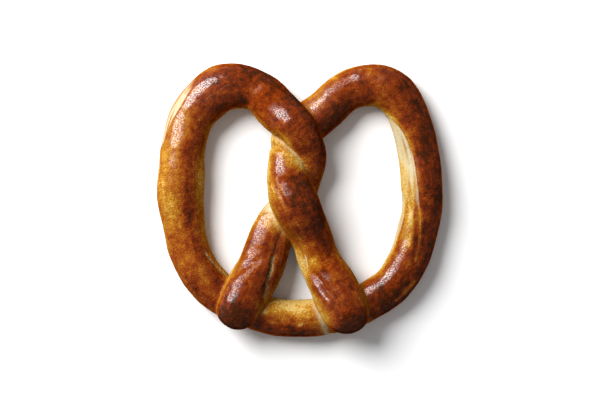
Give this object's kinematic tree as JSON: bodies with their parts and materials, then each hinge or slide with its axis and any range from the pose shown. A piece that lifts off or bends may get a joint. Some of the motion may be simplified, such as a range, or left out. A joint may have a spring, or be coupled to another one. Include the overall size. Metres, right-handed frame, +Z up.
{
  "type": "soft pretzel",
  "caption": "Soft baked pretzel: one rope of dough tied in a full twist, its ends pressed on to the belly of the loop, lying flat.",
  "frame": {"origin": "centre of the pretzel's footprint, on the surface that it lies on", "axes": "+Z up, +Y from the feet and belly towards the tops of the two loops, +X from the left loop to the right loop as seen from above"},
  "size_m": [0.1502, 0.1438, 0.0293],
  "materials": {
    "crust": "glossy baked crust, mahogany on the crests, golden on the flanks and cream where the dough tore open"
  },
  "bodies": {
    "root": {"pretzel": "crust"}
  },
  "joints": []
}
